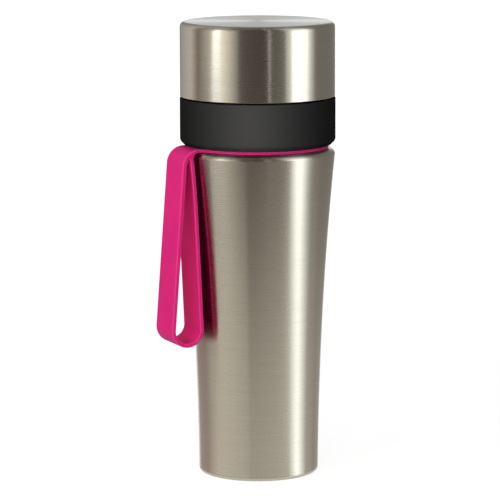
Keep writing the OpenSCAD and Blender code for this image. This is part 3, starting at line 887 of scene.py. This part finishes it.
walls = made(sieve, "GeometryNodeSetShadeSmooth", {
    "Geometry": upper.outputs["Mesh"], "Selection": upper.outputs["Side"], "Shade Smooth": True})
under = made(sieve, "GeometryNodeFlipFaces", {"Mesh": plate})
shell = node(sieve, "GeometryNodeJoinGeometry")
for face in (walls, under):
    sieve.links.new(face, shell.inputs[0])
sealed = made(sieve, "GeometryNodeMergeByDistance", {"Geometry": shell.outputs[0], "Distance": WELD})
screen_lift = made(sieve, "ShaderNodeCombineXYZ", {"Z": sieve_size["Low"]})
seated = made(sieve, "GeometryNodeTransform", {"Geometry": sealed, "Translation": screen_lift})
closed_tree(sieve, seated, sieve_size["Material"])
screen = grown("mixing_screen_disc", sieve, sieve_inputs, {
    "Radius": screen_high.x, "Low": screen_low.z, "Thickness": screen_high.z - screen_low.z,
    "Hole Radius": HOLE_R, "Pitch": HOLE_PITCH, "Row Pitch": HOLE_PITCH * sin(pi / 3),
    "Field": screen_high.x - SCREEN_RIM - HOLE_R, "Rows": HOLE_ROWS, "Material": black})
settle(screen, "lid", "dark_plastic", "mixing_screen")

# Cap seal
# A wide clear ring in the top of the cap's socket, squeezed on the lip of the spout.
# It has the same two beads as the neck seal.
CAP_SEAL_IN = 19.4 * MM
seal_ring("cap_seal", CAP_SEAL_IN, *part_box("cap_seal"), clear, "cap_seal", "seal")

# Cap shell
# A cup deep drawn from the same brushed steel as the wall, with a rounded top edge and a flat top.
# It is pressed over the lining.
CAP_ROUND = 2.7 * MM
cap_low, cap_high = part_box("cap_shell")
CAP_R = cap_high.x
turned(
    "cap_shell",
    [(0, cap_high.z, 0), (CAP_R, cap_high.z, CAP_ROUND), (CAP_R, cap_low.z, EDGE),
     (CAP_R - WALL, cap_low.z, EDGE), (CAP_R - WALL, cap_high.z - WALL, CAP_ROUND - WALL),
     (0, cap_high.z - WALL, 0)],
    steel, "cap", "brushed_steel", "cap_shell", segments=256)

# Cap lining
# A black moulding that grips the steel, with a web across it and a threaded socket for the spout.
# Its thread runs in the spaces of the spout's.
LINER_WALL = 1.8 * MM
LINER_EDGE = 0.4 * MM
SOCKET_IN = 24.6 * MM
SOCKET_R = 26.8 * MM
SOCKET_Z = 188.21 * MM
SOCKET_ROOT = 0.3 * MM
WEB_Z = 206.2 * MM
WEB = 2.4 * MM
WEB_ROOT = 0.8 * MM
CAP_RIDGE = 0.9 * MM
liner_low, liner_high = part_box("cap_liner")
LINER_R = liner_high.x
LINER_IN = LINER_R - LINER_WALL
turned(
    "cap_liner",
    [(0, WEB_Z, 0), (SOCKET_IN, WEB_Z, SOCKET_ROOT), (SOCKET_IN, SOCKET_Z, LINER_EDGE),
     (SOCKET_R, SOCKET_Z, LINER_EDGE), (SOCKET_R, WEB_Z, WEB_ROOT), (LINER_IN, WEB_Z, WEB_ROOT),
     (LINER_IN, liner_low.z, LINER_EDGE), (LINER_R, liner_low.z, EDGE), (LINER_R, liner_high.z, EDGE),
     (LINER_IN, liner_high.z, EDGE), (LINER_IN, WEB_Z + WEB, EDGE), (0, WEB_Z + WEB, 0)],
    black, "cap", "dark_plastic", "cap_liner")
thread(
    "cap_thread", SOCKET_IN, SPOUT_THREAD_Z + LEAD / 2, INSIDE_TURNS, CAP_RIDGE,
    black, "cap", "dark_plastic")

# Cap foam
# A disc of white beaded foam laid over the web of the lining before the steel is pressed on.
# It fills the space under the top and keeps the heat in.
FOAM_EDGE = 0.3 * MM
FOAM_WHITE = (0.84, 0.83, 0.8)
foam, foam_tree, foam_shader = surface("white_foam", Specular_IOR_Level=0.2)
foam_beads = flecks(foam_tree, "ShaderNodeTexVoronoi", {"Scale": 420}, feature="SMOOTH_F1")["Distance"]
toned(foam_tree, foam_shader, foam_beads, FOAM_WHITE, spread=0.06, roughness=0.8, rough_spread=0.1)
relief(foam_tree, foam_shader, foam_beads, depth=0.4 * MM, strength=0.6)
turned("cap_foam", puck(*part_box("cap_foam"), FOAM_EDGE, FOAM_EDGE), foam, "cap", "foam", "cap_foam")

# Room and floor
# Plain white surroundings, and a floor that is white wherever it is seen and keeps the shadow.
# The room gives the object only a part of that white as light.
FLOOR_SIZE = 12.0
FLOOR_GREY = (0.4, 0.4, 0.4, 1)
WHITE = (1, 1, 1, 1)
GLOW_NEAR = 0.8
GLOW_FAR = 0.97
GLOW_FROM = 0.1
GLOW_TO = 0.9
FILL = 0.4


def shown(tree, unseen, seen):
    """A strength for rays that show the room, straight or in gloss and glass, and one for the rest."""
    rays = node(tree, "ShaderNodeLightPath").outputs
    direct = rays["Is Camera Ray"]
    for kind in ("Is Glossy Ray", "Is Transmission Ray"):
        direct = maths(tree, "MAXIMUM", direct, rays[kind])
    return made(tree, "ShaderNodeMapRange", {"Value": direct, "To Min": unseen, "To Max": seen})


room = bpy.data.worlds.new("white_room")
room.use_nodes = True
scene.world = room
backdrop = room.node_tree.nodes["Background"]
backdrop.inputs["Color"].default_value = WHITE
room.node_tree.links.new(shown(room.node_tree, FILL, 1), backdrop.inputs["Strength"])

half = FLOOR_SIZE / 2
floor_mesh = bpy.data.meshes.new("floor")
floor_mesh.from_pydata(
    [(-half, -half, 0), (half, -half, 0), (half, half, 0), (-half, half, 0)], [], [(0, 1, 2, 3)])
floor = bpy.data.objects.new("floor", floor_mesh)
scene.collection.objects.link(floor)
white, white_tree, white_shader = surface(
    "white_floor", Roughness=0.9, Specular_IOR_Level=0.0, Base_Color=FLOOR_GREY, Emission_Color=WHITE)
floor_place = node(white_tree, "ShaderNodeTexCoord").outputs["Object"]
from_bottle = node(white_tree, "ShaderNodeVectorMath", {0: floor_place}, operation="LENGTH")
glow = made(white_tree, "ShaderNodeMapRange", {
    "Value": from_bottle.outputs["Value"], "From Min": GLOW_FROM, "From Max": GLOW_TO,
    "To Min": GLOW_NEAR, "To Max": GLOW_FAR}, interpolation_type="SMOOTHSTEP")
white_tree.links.new(
    maths(white_tree, "MULTIPLY", shown(white_tree, 0, 1), glow),
    white_shader.inputs["Emission Strength"])
floor_mesh.materials.append(white)

# Lamps
# Two soft lamps light everything, one from the left of the camera and one from its own direction.
# Two more light one piece each: the grip from close in front, and the loop from behind on the left.


def toward(turn_deg, distance, z):
    """A place round the bottle: degrees to the right of the camera's direction, distance and height."""
    a = VIEW_TURN + radians(turn_deg)
    return Vector((distance * sin(a), -distance * cos(a), z))


def lamp(name, turn_deg, distance, z, aim_z, size, level):
    """A square softbox that gives a white sheet facing it a brightness of level, unseen in reflections."""
    light = bpy.data.lights.new(name, "AREA")
    holder = bpy.data.objects.new(name, light)
    holder.location = toward(turn_deg, distance, z)
    path = Vector((0, 0, aim_z)) - holder.location
    holder.rotation_euler = path.to_track_quat("-Z", "Y").to_euler()
    holder.visible_glossy = False
    light.size = size
    light.energy = level * (pi * path.length) ** 2
    scene.collection.objects.link(holder)
    return holder


lamp("key", turn_deg=-45, distance=1.0, z=0.4, aim_z=0.13, size=0.9, level=0.37)
lamp("front", turn_deg=0, distance=1.0, z=0.3, aim_z=0.13, size=0.5, level=0.43)
grip_glow = lamp("grip_glow", turn_deg=-6, distance=0.075, z=0.176, aim_z=0.174, size=0.03, level=0.76)
loop_back = lamp("loop_back", turn_deg=-131, distance=0.8, z=0.03, aim_z=0.13, size=0.3, level=0.62)
for small_lamp, lit in ((grip_glow, grip), (loop_back, strap)):
    small_lamp.visible_camera = False
    small_lamp.light_linking.receiver_collection = bpy.data.collections.new(small_lamp.name)
    small_lamp.light_linking.receiver_collection.objects.link(lit)

# Reflection cards
# Upright sheets round the bottle, seen only in reflections, that give the steel its bright strips and
# grey bands. Their sides lean, so that a strip follows the flare of the wall.
CARD_R = 220 * MM
NEAR_CARD_R = CARD_R - 10 * MM
CARD_STEPS = 8
APRON = [FOOT_R + 1.5 * MM, 40 * MM, 60 * MM, 110 * MM, CARD_R]
APRON_Z = 1 * MM
FACING_TRIES = 4
SHADE_LOW = 45 * MM
LOW = 60 * MM
BEND = 120 * MM
UPPER = 155 * MM
STRIP_LOW = 180 * MM
BACK_LOW = 205 * MM
STRIP_HIGH = 290 * MM
FADE = 350 * MM
TOP = 700 * MM
COOL = (0.95, 1, 1.04)
PLAIN = (1, 1, 1)
WARM = (1, 0.96, 0.9)
ROSY = (1, 0.97, 0.98)
TAN = (1, 0.92, 0.87)
RUST = (1, 0.88, 0.82)
BROWN = (1, 0.84, 0.8)


def mirrored(facing, distance):
    """Degrees at which a sheet at a distance shows where the bottle's foot faces that way."""
    return 2 * facing - degrees(asin(FOOT_R / distance * sin(radians(facing))))


def hung(name, tint, rings):
    """A sheet seen only in reflections, from rings (distance, height, from, to, brightness at the two)."""
    columns = range(CARD_STEPS + 1)
    vertices, tones = [], []
    for away, z, a, b, left, right in rings:
        vertices += [toward(a + (b - a) * i / CARD_STEPS, away, z) for i in columns]
        tones += [left + (right - left) * i / CARD_STEPS for i in columns]
    wide = len(columns)
    faces = [
        (i, i + 1, i + 1 + wide, i + wide)
        for ring in range(len(rings) - 1) for i in range(ring * wide, ring * wide + CARD_STEPS)]
    mesh = bpy.data.meshes.new(name)
    mesh.from_pydata(vertices, [], faces)
    mesh.attributes.new("bright", "FLOAT", "POINT").data.foreach_set("value", tones)
    paper, tree, shader = surface(
        name, Roughness=1, Specular_IOR_Level=0, Base_Color=(0, 0, 0, 1), Emission_Color=(*tint, 1))
    level = node(tree, "ShaderNodeAttribute", attribute_name="bright")
    tree.links.new(level.outputs["Fac"], shader.inputs["Emission Strength"])
    mesh.materials.append(paper)
    held = bpy.data.objects.new(name, mesh)
    scene.collection.objects.link(held)
    for ray in ("camera", "diffuse", "shadow", "transmission"):
        setattr(held, "visible_" + ray, False)


def card(name, tint, *levels, apron=None, away=CARD_R):
    """An upright card. Levels are (height, from, to, brightness at the two), with from and to in degrees.

    An apron of its own brightness runs along the floor to the bottle's foot. It turns toward the camera
    on the way, so that its reflection runs straight on down the wall.
    """
    rings = [(away, *level) for level in levels]
    if apron is not None:
        sides = levels[0][1:3]
        facing = sides
        for _ in range(FACING_TRIES):
            facing = [at + (side - mirrored(at, CARD_R)) / 2 for side, at in zip(sides, facing)]
        rings = [(r, APRON_Z, *(mirrored(at, r) for at in facing), *apron) for r in APRON] + rings
    hung(name, tint, rings)


card("far_left_grey", ROSY,
     (BEND, -166, -107, 0.2, 0.95),
     (TOP, -166, -107, 0.2, 0.7))
card("left_brown", RUST,
     (BEND, -107, -91, 0.95, 0.24),
     (TOP, -107, -91, 0.7, 0.24))
card("left_rise", WARM,
     (BEND, -91, -70, 0.3, 1.2),
     (STRIP_LOW, -91, -66, 0.27, 1.15),
     (STRIP_HIGH, -91, -61, 0.24, 1),
     (TOP, -91, -61, 0.24, 0.7))
card("left_low", BROWN,
     (0, -148, -106, 0.46, 0.46),
     (BEND, -148, -106, 0.4, 0.4),
     apron=(0.58, 0.58))
card("left_mid", TAN,
     (0, -106, -80, 0.46, 1),
     (BEND, -106, -80, 0.4, 0.7),
     apron=(0.58, 1))
card("left_shade", BROWN,
     (SHADE_LOW, -84, -71, 0.12, 0.3),
     (UPPER, -84, -70, 0.12, 0.3),
     away=NEAR_CARD_R)
card("left_strip", COOL,
     (BEND, -70, -52, 0.8, 0.6),
     (STRIP_LOW, -66, -52, 1.4, 1),
     (STRIP_LOW, -66, -52, 3.6, 3.4),
     (STRIP_HIGH, -61, -52, 3.3, 3.3),
     (FADE, -61, -52, 0.5, 0.4),
     (TOP, -61, -52, 0.3, 0.2))
card("front_left_low", WARM,
     (0, -80, -16, 1.04, 0.88),
     (LOW, -80, -16, 1.08, 0.5),
     (BEND, -67, -20, 0.32, 0.1),
     apron=(1, 0.84))
card("front_left_grey", WARM,
     (BEND, -52, -27, 0.32, 0.1),
     (UPPER, -52, -25.5, 1.95, 0.36),
     (STRIP_HIGH, -52, -25.5, 2.3, 0.38),
     (FADE, -52, -25.5, 0.3, 0.2),
     (TOP, -52, -25.5, 0.25, 0.2))
card("front_low", WARM,
     (0, -16, 57.5, 0.74, 0.9),
     (LOW, -16, 49.5, 0.18, 0.5),
     (BEND, -20, 45.5, 0.01, 0.26),
     apron=(0.78, 0.85))
card("front_grey", BROWN,
     (BEND, -27, 16, 0.12, 0.04),
     (UPPER, -25.5, 16, 0.15, 0.07),
     (TOP, -25.5, 16, 0.17, 0.16))
card("front_right_grey", WARM,
     (BEND, 16, 45.5, 0.08, 0.24),
     (UPPER, 16, 38.8, 0.14, 0.26),
     (TOP, 16, 40, 0.18, 0.26))
card("front_line", PLAIN,
     (UPPER, 15.2, 16.7, 1.9, 1.9),
     (TOP, 15.2, 16.7, 1.9, 1.9),
     away=NEAR_CARD_R)
card("right_strip", COOL,
     (BEND, 48, 62, 2.8, 2.8),
     (UPPER, 47.3, 74, 3, 3),
     (STRIP_HIGH, 47.3, 74, 3, 3),
     (FADE, 47.3, 74, 1.1, 1.1),
     (TOP, 47.3, 74, 0.4, 0.4))
card("strip_edge", COOL,
     (BEND, 62, 66, 1.3, 0.7),
     (UPPER, 74, 88, 1.9, 0.28),
     (STRIP_HIGH, 74, 88, 1.9, 0.28),
     (FADE, 74, 88, 0.9, 0.3),
     (TOP, 74, 88, 0.4, 0.27))
card("strip_rise", COOL,
     (0, 57.5, 75, 0.9, 2.8),
     (LOW, 49.5, 68.5, 0.5, 2.9),
     (BEND, 45.5, 56, 0.26, 3.2),
     apron=(0.9, 2.7))
card("strip_fall", COOL,
     (0, 75, 97, 2.8, 0.75),
     (LOW, 68.5, 91, 2.9, 0.6),
     (BEND, 56, 68.5, 3.2, 0.4),
     apron=(2.7, 0.75))
card("right_low", WARM,
     (0, 97, 120, 0.75, 0.6),
     (LOW, 91, 112, 0.6, 0.46),
     (BEND, 68.5, 98, 0.4, 0.3),
     apron=(0.75, 0.6))
card("right_grey", WARM,
     (0, 120, 158, 0.55, 0.5),
     (LOW, 112, 155, 0.42, 0.36),
     (BEND, 98, 158, 0.27, 0.31),
     apron=(0.5, 0.5))
card("far_right_grey", WARM,
     (BEND, 66, 158, 0.28, 0.31),
     (UPPER, 88, 158, 0.31, 0.28),
     (TOP, 88, 158, 0.31, 0.24))
card("back", COOL,
     (BACK_LOW, 158, 194, 1, 1),
     (STRIP_HIGH, 158, 194, 1, 1),
     (TOP, 158, 194, 0.25, 0.25))
hung("roof", WARM, [(r, TOP, -180, 180, 0.25, 0.25) for r in (CARD_R, 0)])
